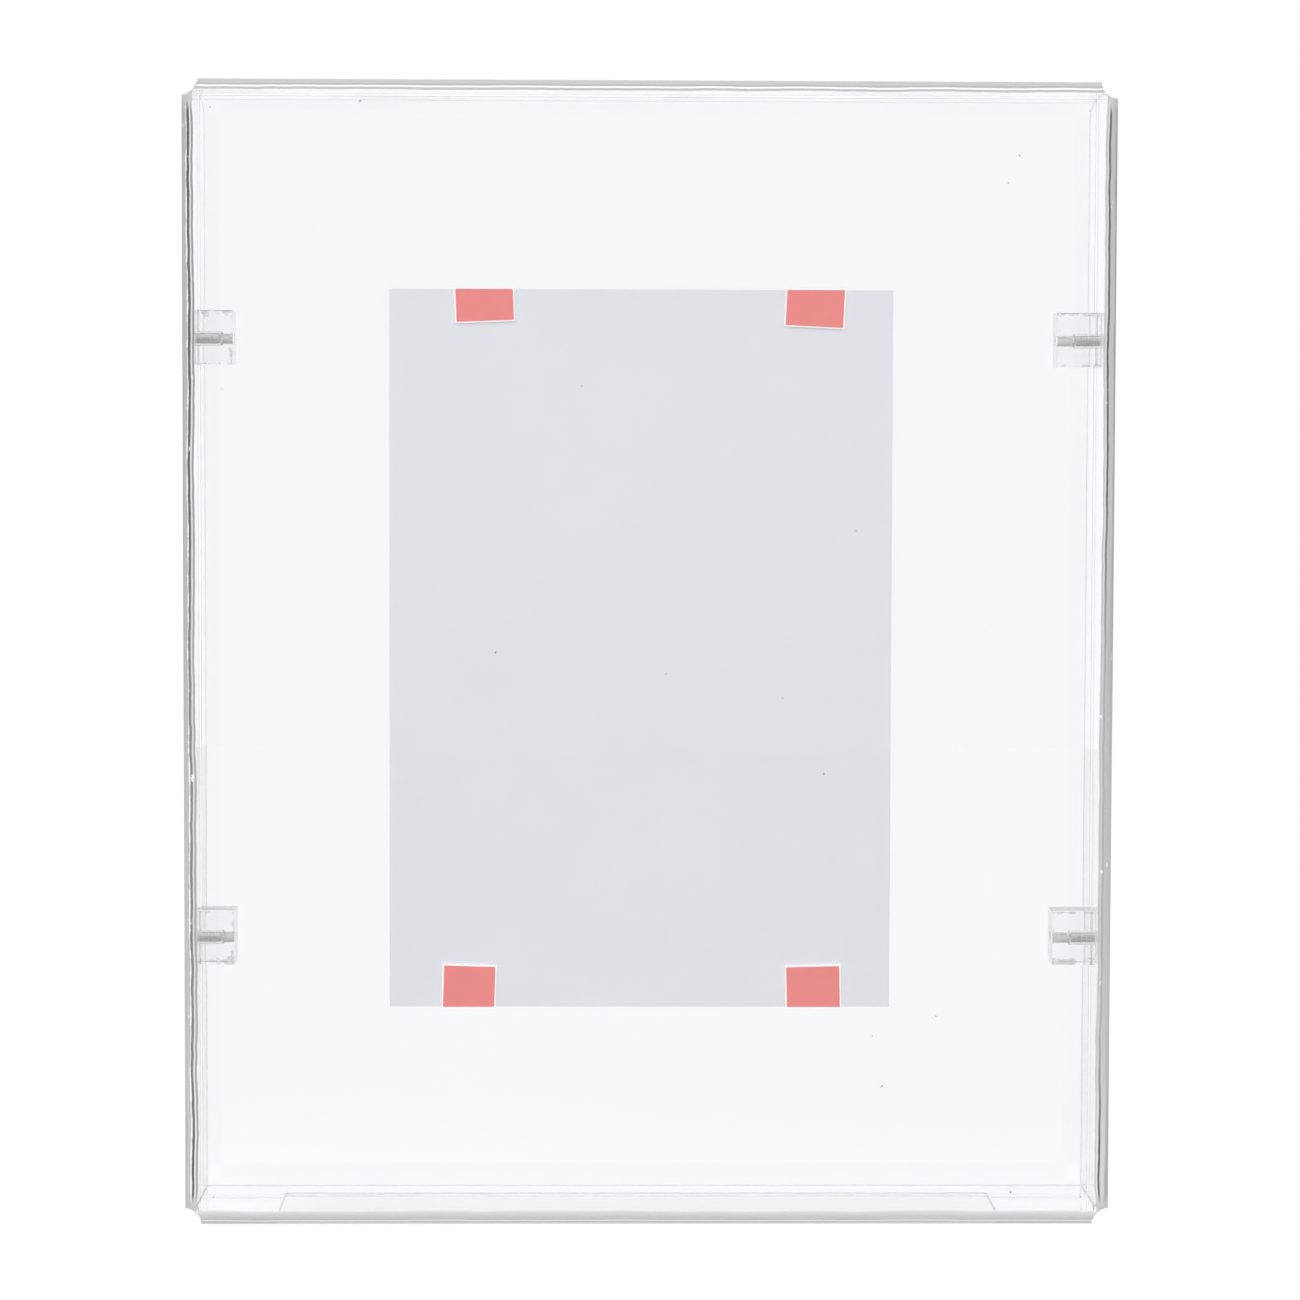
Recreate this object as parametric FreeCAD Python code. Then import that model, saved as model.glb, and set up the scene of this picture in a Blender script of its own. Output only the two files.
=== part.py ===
import FreeCAD, Part
import math
import os

# Clear box frame for one A4 picture. Millimetres, +Z up, front towards -Y.
# The origin is the middle of the frame's footprint, on the surface it stands on.

# Clear cover, line-bent from one sheet: a front face and four walls that run back from it
cover_width = 380.0
cover_height = 468.0
cover_depth = 80.0
sheet_thickness = 2.0
bend_inner_radius = 3.0
corner_relief_radius = 7.3
corner_taper_length = 50.0
corner_seam_gap = 0.3

# The side walls' upper rear corners are rounded off from this far behind the front
wall_round_setback = 50.0
wall_round_radius = 60.0

# Long opening in the cover's bottom wall, centred on the depth, a little left of the middle
slot_length = 299.0
slot_width = 46.0
slot_offset = -3.7
slot_corner_radius = 2.0

# Clear blocks that stand on the back panel beside the walls, a little longer on the right,
# their middle a little above the pin's axis
block_lengths = {"left": 15.4, "right": 17.9}
block_depth = 16.0
block_height = 22.8
block_rise = 0.4
block_setback = 36.0
block_wall_gap = 0.2
lower_block_height = 114.0
block_spacing = 250.0

# Parallel pins that lock the cover to the blocks
pin_diameter = 6.0
pin_length = 12.0
pin_chamfer = 0.6
pin_clearance = 0.05
pin_end_gap = 0.5
pilot_diameter = 4.5
bore_shoulder = 0.8

# Clear back panel inside the walls, cemented to the blocks
panel_thickness = 3.0
panel_edge_gap = 0.5
bond_gap = 0.1

# Grey carrier card that holds the picture, fixed to the panel by hand, a little left of the middle
card_width = 211.0
card_height = 302.0
card_thickness = 1.0
card_offset = -2.8
card_base = 83.3

# Double-sided tape: a clear foam pad with its red release liner still on it, cut a little smaller
tape_pad_thickness = 0.8
tape_liner_thickness = 0.15
tape_liner_inset = 0.5

# One overrun for every cut
overrun = 1.0

# Each tape piece: places across the card as shares of its width from its left edge,
# the length that shows from the card's edge in mm, and the tilt in degrees
tape_places = {
    "upper_left": {"across_share": 0.190, "width": 25.0, "reach": 13.8, "tilt": 2.2},
    "upper_right": {"across_share": 0.843, "width": 25.1, "reach": 15.7, "tilt": -2.8},
    "lower_left": {"across_share": 0.160, "width": 22.6, "reach": 17.7, "tilt": -1.8},
    "lower_right": {"across_share": 0.846, "width": 23.4, "reach": 17.6, "tilt": 1.4},
}

bend_outer_radius = bend_inner_radius + sheet_thickness
half_width = cover_width / 2
front_y = -cover_depth / 2
rear_y = cover_depth / 2
inner_half_width = half_width - sheet_thickness
inner_top = cover_height - sheet_thickness

block_front = front_y + block_setback
block_rear = block_front + block_depth
block_axis_y = block_front + block_depth / 2
block_outer_x = inner_half_width - block_wall_gap
block_heights = {"lower": lower_block_height, "upper": lower_block_height + block_spacing}
sides = {"left": -1, "right": 1}

bore_radius = pin_diameter / 2 + pin_clearance
pilot_radius = pilot_diameter / 2
pin_inner_x = half_width - pin_length
bore_end_x = pin_inner_x - pin_end_gap

panel_front = block_rear + bond_gap
panel_rear = panel_front + panel_thickness
card_rear = panel_front - bond_gap
card_front = card_rear - card_thickness
card_left = card_offset - card_width / 2
pad_rear = card_front - bond_gap
pad_front = pad_rear - tape_pad_thickness
liner_front = pad_front - tape_liner_thickness

along_x = FreeCAD.Vector(1, 0, 0)
along_y = FreeCAD.Vector(0, 1, 0)
along_z = FreeCAD.Vector(0, 0, 1)


def box(x0, x1, y0, y1, z0, z1):
    """A box between two corners."""
    return Part.makeBox(x1 - x0, y1 - y0, z1 - z0, FreeCAD.Vector(x0, y0, z0))


def prism(outline, direction):
    """A closed outline of edges, pushed along a direction."""
    return Part.Face(Part.Wire(outline)).extrude(direction)


def tray_section(low, high, front, rear, radius, point):
    """Outline of a wall section: square at the rear, round at its two front corners.

    point turns a place across the section and a depth into a 3-D point.
    """
    lean = radius * (1 - math.sqrt(0.5))
    low_rear = point(low, rear)
    low_front = point(low, front + radius)
    low_mid = point(low + lean, front + lean)
    low_face = point(low + radius, front)
    high_face = point(high - radius, front)
    high_mid = point(high - lean, front + lean)
    high_front = point(high, front + radius)
    high_rear = point(high, rear)
    return [
        Part.makeLine(low_rear, low_front),
        Part.Arc(low_front, low_mid, low_face).toShape(),
        Part.makeLine(low_face, high_face),
        Part.Arc(high_face, high_mid, high_front).toShape(),
        Part.makeLine(high_front, high_rear),
        Part.makeLine(high_rear, low_rear),
    ]


def rounded_block(half_span, bottom, top, front, rear, radius):
    """A block whose four front edges are rounded: the common part of two rounded prisms."""
    across = tray_section(
        -half_span, half_span, front, rear, radius, lambda x, y: FreeCAD.Vector(x, y, bottom)
    )
    upright = tray_section(
        bottom, top, front, rear, radius, lambda z, y: FreeCAD.Vector(-half_span, y, z)
    )
    flat = prism(across, along_z * (top - bottom))
    tall = prism(upright, along_x * (2 * half_span))
    return flat.common(tall)


def cover_corners():
    """The four outer corners of the cover as (side, up, corner point at the front)."""
    corners = []
    for side in (-1, 1):
        for up, height in ((-1, 0), (1, cover_height)):
            corners.append((side, up, FreeCAD.Vector(side * half_width, front_y, height)))
    return corners


def corner_seam(side, up, corner):
    """Thin diagonal slit where two neighbouring walls meet, from the bend to the rear rim."""
    inward = FreeCAD.Vector(-side, 0, -up).normalize()
    across = FreeCAD.Vector(up, 0, -side).normalize()
    start = corner + along_y * bend_outer_radius - inward * overrun
    reach = sheet_thickness * math.sqrt(2) + 2 * overrun
    half_gap = across * (corner_seam_gap / 2)
    points = [start + half_gap, start - half_gap]
    points += [point + inward * reach for point in reversed(points)]
    outline = Part.makePolygon(points + points[:1])
    return Part.Face(outline).extrude(along_y * (rear_y + overrun - start.y))


def bottom_slot():
    """Cutter for the long opening in the bottom wall."""
    low = slot_offset - slot_length / 2
    half_slot = slot_width / 2
    cutter = box(low, low + slot_length, -half_slot, half_slot, -overrun, sheet_thickness + overrun)
    upright = [edge for edge in cutter.Edges if abs(edge.tangentAt(edge.FirstParameter).z) > 0.5]
    return cutter.makeFillet(slot_corner_radius, upright)


def corner_taper(corner):
    """Cutter that narrows the walls' ends from the bend back, down to the bare corner."""
    start = corner - along_y * overrun
    start_radius = corner_relief_radius * (1 + overrun / corner_taper_length)
    return Part.makeCone(start_radius, 0, corner_taper_length + overrun, start, along_y)


def wall_rounding(side):
    """Cutter that rounds off the upper rear corner of one side wall."""
    start_y = front_y + wall_round_setback
    centre_z = cover_height - wall_round_radius
    x0, x1 = sorted((side * inner_half_width, side * (half_width + overrun)))
    cutter = box(x0, x1, start_y, rear_y + overrun, centre_z, cover_height + overrun)
    centre = FreeCAD.Vector(x0, start_y, centre_z)
    return cutter.cut(Part.makeCylinder(wall_round_radius, x1 - x0, centre, along_x))


def wall_hole(side, height):
    """Cutter for a pin's hole through one side wall."""
    start = FreeCAD.Vector(side * (inner_half_width - block_wall_gap / 2), block_axis_y, height)
    reach = sheet_thickness + block_wall_gap / 2 + overrun
    return Part.makeCylinder(bore_radius, reach, start, along_x * side)


def front_cover():
    """The bent sheet with its corner reliefs, open seams, pin holes and bottom slot."""
    outside = rounded_block(half_width, 0, cover_height, front_y, rear_y, bend_outer_radius)
    inside = rounded_block(
        inner_half_width, sheet_thickness, inner_top,
        front_y + sheet_thickness, rear_y + overrun, bend_inner_radius,
    )
    cover = outside.cut(inside)
    cutters = [bottom_slot()]
    for side, up, corner in cover_corners():
        cutters.append(Part.makeSphere(corner_relief_radius, corner))
        cutters.append(corner_taper(corner))
        cutters.append(corner_seam(side, up, corner))
    for side in sides.values():
        cutters.append(wall_rounding(side))
        for height in block_heights.values():
            cutters.append(wall_hole(side, height))
    return cover.cut(cutters)


def clip_block(side, length, height):
    """A clear block with a stepped bore: wide for the pin, then a narrow pilot right through."""
    inner_x = block_outer_x - length
    x0, x1 = sorted((side * inner_x, side * block_outer_x))
    bottom = height + block_rise - block_height / 2
    body = box(x0, x1, block_front, block_rear, bottom, bottom + block_height)
    inward = along_x * -side
    mouth = FreeCAD.Vector(side * (block_outer_x + overrun), block_axis_y, height)
    bore_depth = block_outer_x + overrun - bore_end_x
    shoulder_start = FreeCAD.Vector(side * bore_end_x, block_axis_y, height)
    bore = Part.makeCylinder(bore_radius, bore_depth, mouth, inward)
    shoulder = Part.makeCone(bore_radius, pilot_radius, bore_shoulder, shoulder_start, inward)
    pilot_depth = bore_end_x - inner_x + overrun
    pilot = Part.makeCylinder(pilot_radius, pilot_depth, shoulder_start, inward)
    return body.cut([bore, shoulder, pilot])


def locking_pin(side, height):
    """A parallel pin, flush with the wall's outside, with a chamfer at each end."""
    radius = pin_diameter / 2
    tip_radius = radius - pin_chamfer
    outward = along_x * side
    inner_end = FreeCAD.Vector(side * pin_inner_x, block_axis_y, height)
    shank_start = inner_end + outward * pin_chamfer
    shank_length = pin_length - 2 * pin_chamfer
    inner_tip = Part.makeCone(tip_radius, radius, pin_chamfer, inner_end, outward)
    shank = Part.makeCylinder(radius, shank_length, shank_start, outward)
    outer_tip = Part.makeCone(radius, tip_radius, pin_chamfer, shank_start + outward * shank_length, outward)
    return inner_tip.fuse([shank, outer_tip]).removeSplitter()


def back_panel():
    """The clear panel inside the four walls."""
    half_span = inner_half_width - panel_edge_gap
    low = sheet_thickness + panel_edge_gap
    return box(-half_span, half_span, panel_front, panel_rear, low, inner_top - panel_edge_gap)


def carrier_card():
    """The card behind the picture."""
    return box(card_left, card_left + card_width, card_front, card_rear, card_base, card_base + card_height)


def tape_piece(place, upper, front, rear, inset):
    """One layer of a tape piece: a tilted strip trimmed flush with the card's edge, smaller by an inset."""
    middle_x = card_left + card_width * place["across_share"]
    edge_z = card_base + card_height if upper else card_base
    inward = -1 if upper else 1
    half = place["width"] / 2 - inset
    end_z = edge_z + inward * (place["reach"] - inset)
    start_z = edge_z - inward * place["width"]
    low, high = sorted((start_z, end_z))
    strip = box(middle_x - half, middle_x + half, front, rear, low, high)
    strip.rotate(FreeCAD.Vector(middle_x, front, end_z), along_y, -place["tilt"])
    card_outline = box(card_left, card_left + card_width, front, rear, card_base, card_base + card_height)
    return strip.common(card_outline)


def build():
    """All pieces of the frame by name."""
    pieces = {
        "front_cover": front_cover(),
        "back_panel": back_panel(),
        "carrier_card": carrier_card(),
    }
    for level, height in block_heights.items():
        for hand, side in sides.items():
            corner = f"{level}_{hand}"
            place = tape_places[corner]
            upper = level == "upper"
            pieces[f"clip_block_{corner}"] = clip_block(side, block_lengths[hand], height)
            pieces[f"locking_pin_{corner}"] = locking_pin(side, height)
            pieces[f"tape_pad_{corner}"] = tape_piece(place, upper, pad_front, pad_rear, 0)
            pieces[f"tape_liner_{corner}"] = tape_piece(
                place, upper, liner_front, pad_front, tape_liner_inset
            )
    return pieces


os.makedirs("parts", exist_ok=True)
for name, shape in build().items():
    shape.exportStep(f"parts/{name}.step")
    bounds = shape.BoundBox
    print(
        f"{name:28s} solids {len(shape.Solids)} valid {shape.isValid()} volume {shape.Volume:11.2f} "
        f"x {bounds.XMin:8.2f} {bounds.XMax:8.2f} y {bounds.YMin:7.2f} {bounds.YMax:7.2f} "
        f"z {bounds.ZMin:7.2f} {bounds.ZMax:7.2f}"
    )
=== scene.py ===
import math

import bmesh
import bpy
from mathutils import Matrix, Vector


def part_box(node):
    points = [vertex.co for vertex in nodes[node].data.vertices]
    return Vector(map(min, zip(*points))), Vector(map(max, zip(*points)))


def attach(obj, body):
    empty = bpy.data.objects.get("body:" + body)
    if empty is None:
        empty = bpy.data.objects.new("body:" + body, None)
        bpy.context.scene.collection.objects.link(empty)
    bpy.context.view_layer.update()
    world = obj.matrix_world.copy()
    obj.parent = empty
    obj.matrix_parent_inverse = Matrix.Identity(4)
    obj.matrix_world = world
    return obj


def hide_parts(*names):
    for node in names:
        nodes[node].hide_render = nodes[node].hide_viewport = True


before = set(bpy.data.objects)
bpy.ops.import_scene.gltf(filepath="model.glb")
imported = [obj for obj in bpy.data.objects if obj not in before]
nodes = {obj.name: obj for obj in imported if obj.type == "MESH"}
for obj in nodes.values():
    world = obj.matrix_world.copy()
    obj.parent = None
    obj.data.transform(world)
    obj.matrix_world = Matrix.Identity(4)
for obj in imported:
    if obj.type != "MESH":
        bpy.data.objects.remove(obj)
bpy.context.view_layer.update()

mm = 0.001

# Sizes, in metres, as the part's source has them

cover_low, cover_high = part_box("front_cover")
sheet = 2.0 * mm
bend_inner = 3.0 * mm
bend_outer = bend_inner + sheet
relief_radius = 7.3 * mm
taper_length = 50.0 * mm
wall_round_setback = 50.0 * mm
wall_round_radius = 60.0 * mm
seam_gap = 0.3 * mm
slot_x = (-153.2 * mm, 145.8 * mm)
slot_y = (-23.0 * mm, 23.0 * mm)
slot_corner = 2.0 * mm
pin_radius = 3.0 * mm
bore_radius = 3.05 * mm
pilot_radius = 2.25 * mm
bore_end = 177.5 * mm
bore_shoulder = 0.8 * mm
pin_chamfer = 0.6 * mm
pin_y = 4.0 * mm
levels = {"lower": 114.0 * mm, "upper": 364.0 * mm}
hands = {"left": -1, "right": 1}
# How far a cutter stands past what it cuts, and how near counts as on a face
overrun = 1 * mm
touch = 0.1 * mm
# What a lamp's light keeps on its way through the clear sheet
shadow_tint = (0.95, 0.955, 0.96)
acrylic_ior = 1.49


# Node helpers

def new_material(name):
    """A material with an empty node tree and its output node."""
    material = bpy.data.materials.new(name)
    material.use_nodes = True
    tree = material.node_tree
    tree.nodes.clear()
    output = tree.nodes.new("ShaderNodeOutputMaterial")
    return material, tree, output


def add(tree, kind, inputs=None, **settings):
    """A node with its settings and constant inputs."""
    node = tree.nodes.new(kind)
    for key, value in settings.items():
        setattr(node, key, value)
    for key, value in (inputs or {}).items():
        node.inputs[key].default_value = value
    return node


def place_pattern(tree, scale=(1, 1, 1)):
    """Object coordinates stretched by a Mapping node."""
    where = tree.nodes.new("ShaderNodeTexCoord")
    mapping = add(tree, "ShaderNodeMapping", {"Scale": scale})
    tree.links.new(where.outputs["Object"], mapping.inputs["Vector"])
    return mapping.outputs["Vector"]


def grain(tree, scale, detail=4.0, roughness=0.55, stretch=(1, 1, 1), distortion=0.0):
    """Noise over object coordinates, one value per point."""
    noise = add(
        tree, "ShaderNodeTexNoise",
        {"Scale": scale, "Detail": detail, "Roughness": roughness, "Distortion": distortion},
    )
    tree.links.new(place_pattern(tree, stretch), noise.inputs["Vector"])
    return noise.outputs["Fac"]


def spread(tree, source, low, high, start=0.0, end=1.0):
    """A value moved from one range to another."""
    node = add(
        tree, "ShaderNodeMapRange",
        {"From Min": start, "From Max": end, "To Min": low, "To Max": high},
    )
    tree.links.new(source, node.inputs["Value"])
    return node.outputs["Result"]


def blend_colours(tree, factor, first, second):
    """A colour between two, by a value."""
    node = add(tree, "ShaderNodeMix", data_type="RGBA")
    node.inputs["A"].default_value = (*first, 1)
    node.inputs["B"].default_value = (*second, 1)
    tree.links.new(factor, node.inputs["Factor"])
    return node.outputs[2]


def relief(tree, height, distance, strength=1.0):
    """A bump from a height value."""
    node = add(tree, "ShaderNodeBump", {"Strength": strength, "Distance": distance})
    tree.links.new(height, node.inputs["Height"])
    return node.outputs["Normal"]


def let_lamps_through(tree, shader, output, tint):
    """Clear plastic casts only a faint shadow."""
    path = tree.nodes.new("ShaderNodeLightPath")
    clear = add(tree, "ShaderNodeBsdfTransparent", {"Color": (*tint, 1)})
    mixed = mix_shaders(tree, path.outputs["Is Shadow Ray"], shader, clear.outputs["BSDF"])
    tree.links.new(mixed, output.inputs["Surface"])


def calc(tree, operation, first, second=None, third=None):
    """A Math node on sockets or numbers."""
    node = add(tree, "ShaderNodeMath", operation=operation)
    for slot, value in enumerate((first, second, third)):
        if value is None:
            continue
        if isinstance(value, (int, float)):
            node.inputs[slot].default_value = value
        else:
            tree.links.new(value, node.inputs[slot])
    return node.outputs["Value"]


def fixed_colour(tree, red, green, blue):
    """One colour, to blend with others."""
    node = tree.nodes.new("ShaderNodeRGB")
    node.outputs[0].default_value = (red, green, blue, 1)
    return node.outputs[0]


def axes(tree):
    """The three object coordinates of a point."""
    split = tree.nodes.new("ShaderNodeSeparateXYZ")
    tree.links.new(place_pattern(tree), split.inputs["Vector"])
    return [split.outputs[axis] for axis in "XYZ"]


def mix_shaders(tree, factor, first, second):
    """One shader that turns into another by a value."""
    mix = tree.nodes.new("ShaderNodeMixShader")
    tree.links.new(factor, mix.inputs["Fac"])
    tree.links.new(first, mix.inputs[1])
    tree.links.new(second, mix.inputs[2])
    return mix.outputs["Shader"]


def line_ramp(tree, distance, span, stops):
    """A painted shade colour across a bend from a list of (place in mm, grey level, cover)."""
    ramp = tree.nodes.new("ShaderNodeValToRGB")
    elements = ramp.color_ramp.elements
    for number, (place, level, cover) in enumerate(stops):
        stop = elements[number] if number < 2 else elements.new(place / span)
        stop.position = place / span
        stop.color = (level * bend_shade_tint[0], level * bend_shade_tint[1], level * bend_shade_tint[2], cover)
    tree.links.new(calc(tree, "DIVIDE", distance, span), ramp.inputs["Fac"])
    return ramp


def pick(tree, factor, first, second):
    """One of two colours or values by a factor of 0 or 1."""
    node = add(tree, "ShaderNodeMix", data_type="RGBA")
    tree.links.new(factor, node.inputs["Factor"])
    tree.links.new(first, node.inputs[6])
    tree.links.new(second, node.inputs[7])
    return node.outputs[2]


# Finishes

def clear_acrylic(name, pale, deep, wave_scale, wave_height, smear=0.03):
    """Polished clear sheet: a faint tint, slow waves from casting and faint wiping smears."""
    material, tree, output = new_material(name)
    shader = add(tree, "ShaderNodeBsdfPrincipled", {"Transmission Weight": 1.0, "IOR": acrylic_ior})
    tint = blend_colours(tree, grain(tree, 9.0, 2.0), pale, deep)
    tree.links.new(tint, shader.inputs["Base Color"])
    smears = grain(tree, 14.0, 6.0, 0.7, (1, 1, 0.35), 1.2)
    tree.links.new(spread(tree, smears, 0.0, smear, 0.45, 0.75), shader.inputs["Roughness"])
    waves = grain(tree, wave_scale, 1.0, 0.4)
    tree.links.new(relief(tree, waves, wave_height), shader.inputs["Normal"])
    let_lamps_through(tree, shader.outputs["BSDF"], output, shadow_tint)
    return material


def cut_edge_acrylic(name, colour, roughness, painted_glow=0.0):
    """Sawn and scraped edge of clear sheet: fine marks along the cut, a little milky, and a painted glow of
    the given strength.
    """
    material, tree, output = new_material(name)
    # Emission Strength is a painted glow: the edge shines though it is no lamp.
    shader = add(
        tree, "ShaderNodeBsdfPrincipled",
        {"Transmission Weight": 0.5, "IOR": acrylic_ior, "Emission Strength": painted_glow},
    )
    streaks = grain(tree, 900.0, 3.0, 0.6, (1, 0.15, 1))
    worn = tuple(part * 0.94 for part in colour)
    tree.links.new(blend_colours(tree, streaks, colour, worn), shader.inputs["Base Color"])
    tree.links.new(spread(tree, streaks, roughness * 0.5, roughness * 1.4), shader.inputs["Roughness"])
    tree.links.new(relief(tree, streaks, 0.01 * mm), shader.inputs["Normal"])
    let_lamps_through(tree, shader.outputs["BSDF"], output, shadow_tint)
    return material


def corner_cut_acrylic(name):
    """Filed corner of the clear sheet: greyer than a sawn edge, with coarser marks."""
    material, tree, output = new_material(name)
    shader = add(tree, "ShaderNodeBsdfPrincipled", {"Transmission Weight": 0.45, "IOR": acrylic_ior})
    marks = grain(tree, 1300.0, 3.0, 0.6, (1, 1, 0.3))
    tone = blend_colours(tree, marks, (0.70, 0.70, 0.71), (0.52, 0.52, 0.53))
    tree.links.new(tone, shader.inputs["Base Color"])
    tree.links.new(spread(tree, marks, 0.15, 0.35), shader.inputs["Roughness"])
    tree.links.new(relief(tree, marks, 0.01 * mm), shader.inputs["Normal"])
    let_lamps_through(tree, shader.outputs["BSDF"], output, (0.9, 0.9, 0.91))
    return material


def drilled_acrylic(name):
    """Wall of a drilled bore: fine turning marks round the drill's axis."""
    material, tree, output = new_material(name)
    shader = add(tree, "ShaderNodeBsdfPrincipled", {"Transmission Weight": 0.6, "IOR": acrylic_ior})
    rings = grain(tree, 3000.0, 2.0, 0.5, (1, 0.05, 0.05))
    tone = blend_colours(tree, rings, (0.90, 0.89, 0.87), (0.85, 0.84, 0.82))
    tree.links.new(tone, shader.inputs["Base Color"])
    tree.links.new(spread(tree, rings, 0.28, 0.36), shader.inputs["Roughness"])
    tree.links.new(relief(tree, rings, 0.004 * mm), shader.inputs["Normal"])
    let_lamps_through(tree, shader.outputs["BSDF"], output, (0.85, 0.85, 0.84))
    return material


def ground_steel(name):
    """Centreless ground steel: fine rings round the pin and faint handling marks."""
    material, tree, output = new_material(name)
    shader = add(tree, "ShaderNodeBsdfPrincipled", {"Metallic": 0.45})
    rings = grain(tree, 4000.0, 3.0, 0.6, (1, 0.03, 0.03))
    marks = grain(tree, 350.0, 4.0, 0.6)
    tone = blend_colours(tree, marks, (0.90, 0.89, 0.87), (0.80, 0.79, 0.775))
    tree.links.new(tone, shader.inputs["Base Color"])
    tree.links.new(spread(tree, rings, 0.18, 0.34), shader.inputs["Roughness"])
    tree.links.new(relief(tree, rings, 0.004 * mm), shader.inputs["Normal"])
    tree.links.new(shader.outputs["BSDF"], output.inputs["Surface"])
    return material


def grey_card_board(name):
    """Matt grey board: fine fibres and a slow mottle."""
    material, tree, output = new_material(name)
    shader = add(
        tree, "ShaderNodeBsdfPrincipled", {"Roughness": 0.85, "IOR": 1.45, "Specular IOR Level": 0.2}
    )
    fibres = grain(tree, 1400.0, 5.0, 0.7, (1, 1, 0.4))
    mottle = grain(tree, 30.0, 3.0, 0.5)
    both = calc(tree, "ADD", spread(tree, fibres, -0.3, 0.3), mottle)
    tone = blend_colours(tree, both, (0.855, 0.855, 0.885), (0.835, 0.835, 0.865))
    tree.links.new(tone, shader.inputs["Base Color"])
    tree.links.new(relief(tree, fibres, 0.03 * mm, 0.5), shader.inputs["Normal"])
    tree.links.new(shader.outputs["BSDF"], output.inputs["Surface"])
    return material


def liner_film(name):
    """Red release film over foam tape: smooth, with small bubbles and creases."""
    material, tree, output = new_material(name)
    shader = add(tree, "ShaderNodeBsdfPrincipled", {"IOR": 1.46, "Specular IOR Level": 0.4})
    bubbles = grain(tree, 260.0, 5.0, 0.6, (1, 1, 1), 0.6)
    tone = blend_colours(tree, bubbles, (0.985, 0.29, 0.27), (0.93, 0.255, 0.238))
    tree.links.new(tone, shader.inputs["Base Color"])
    tree.links.new(spread(tree, bubbles, 0.22, 0.42), shader.inputs["Roughness"])
    tree.links.new(relief(tree, bubbles, 0.04 * mm, 0.6), shader.inputs["Normal"])
    tree.links.new(shader.outputs["BSDF"], output.inputs["Surface"])
    return material


def foam_tape(name):
    """Pale foam with tiny cells, with a painted glow over it that brightens its visible rim."""
    material, tree, output = new_material(name)
    # Emission Strength is a painted glow on the foam.
    shader = add(
        tree, "ShaderNodeBsdfPrincipled",
        {
            "Roughness": 0.5, "IOR": 1.4, "Transmission Weight": 0.08,
            "Specular IOR Level": 0.3, "Emission Strength": 0.22,
        },
    )
    cells = add(tree, "ShaderNodeTexVoronoi", {"Scale": 2600.0})
    tree.links.new(place_pattern(tree), cells.inputs["Vector"])
    tone = blend_colours(tree, cells.outputs["Distance"], (1.0, 0.97, 0.97), (0.99, 0.94, 0.94))
    tree.links.new(tone, shader.inputs["Base Color"])
    tree.links.new(relief(tree, cells.outputs["Distance"], 0.01 * mm), shader.inputs["Normal"])
    tree.links.new(shader.outputs["BSDF"], output.inputs["Surface"])
    return material


# Painted shade bands and painted highlight lines across the bends, in mm from the outline: how far each
# side's list reaches, and the lists themselves, as (place, grey level, how far it covers the clear sheet)
bend_shade_tint = (0.86, 0.86, 0.87)
side_span, top_span, bottom_span = 6.0, 6.0, 8.0
left_shade_lines = [
    (0.0, 0.38, 1), (0.5, 0.50, 1), (1.4, 0.42, 1), (1.85, 0.58, 1), (2.05, 0.88, 0.9), (2.2, 0.60, 1),
    (2.35, 0.06, 1), (3.25, 0.07, 1), (3.5, 0.70, 0.9), (3.9, 0.74, 0.9), (4.05, 0.24, 1), (4.75, 0.28, 1),
    (5.0, 0.90, 0.3), (5.2, 0.95, 0),
]
right_shade_lines = [
    (0.0, 0.32, 1), (0.9, 0.38, 1), (1.3, 0.56, 1), (2.0, 0.48, 1), (2.9, 0.54, 1), (3.1, 0.08, 1),
    (3.8, 0.07, 1), (4.05, 0.68, 0.9), (4.45, 0.64, 0.9), (4.65, 0.40, 1), (5.1, 0.50, 0.9), (5.5, 0.95, 0),
]
top_shade_lines = [
    (0.0, 0.36, 1), (0.4, 0.50, 1), (1.6, 0.52, 1), (2.75, 0.42, 1), (3.05, 0.94, 0.8), (3.5, 0.97, 0.8),
    (3.7, 0.42, 0.9), (4.5, 0.44, 0.9), (4.9, 0.95, 0.2), (5.3, 0.95, 0),
]
bottom_shade_lines = [
    (0.0, 0.56, 1), (0.9, 0.64, 1), (1.6, 0.58, 1), (1.9, 0.86, 1), (2.2, 0.86, 1), (2.45, 0.58, 1),
    (3.4, 0.55, 1), (4.4, 0.58, 1), (5.6, 0.66, 1), (6.3, 0.80, 0.8), (6.8, 0.98, 0),
]
# Towards the corners the side lines close up round this place and end in an even cap of painted grey shade,
# in mm
line_middle = 2.7
closing_from, closing_to = 9.0, 15.0
cap_from, cap_to = 9.0, 13.0
cap_width = 4.8
# The right side's painted lines fade into an even painted grey between these heights, the left side's less
fade_low, fade_high = (35 * mm, 80 * mm), (235 * mm, 300 * mm)
fade_right, fade_left = 0.75, 0.4
# How much less the top and bottom lines wave than the side lines
level_wobble = 0.6
# Where the left side's painted highlight line lies, which is broken up into dashes, in mm
highlight_dash_place = 2.0
# Length in mm over which the painted bands fade out at the end of the bend, and how strong they are before
# it
band_reach = 1.2
band_strength = 0.92


def bend_places(tree):
    """Distances in mm from the cover's outline and its front, by object coordinates."""
    x, y, z = axes(tree)
    from_side = calc(tree, "DIVIDE", calc(tree, "SUBTRACT", cover_high.x, calc(tree, "ABSOLUTE", x)), mm)
    from_top = calc(tree, "DIVIDE", calc(tree, "SUBTRACT", cover_high.z, z), mm)
    from_bottom = calc(tree, "DIVIDE", calc(tree, "SUBTRACT", z, cover_low.z), mm)
    depth = calc(tree, "DIVIDE", calc(tree, "SUBTRACT", y, cover_low.y), mm)
    return x, z, from_side, from_top, from_bottom, depth


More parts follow.
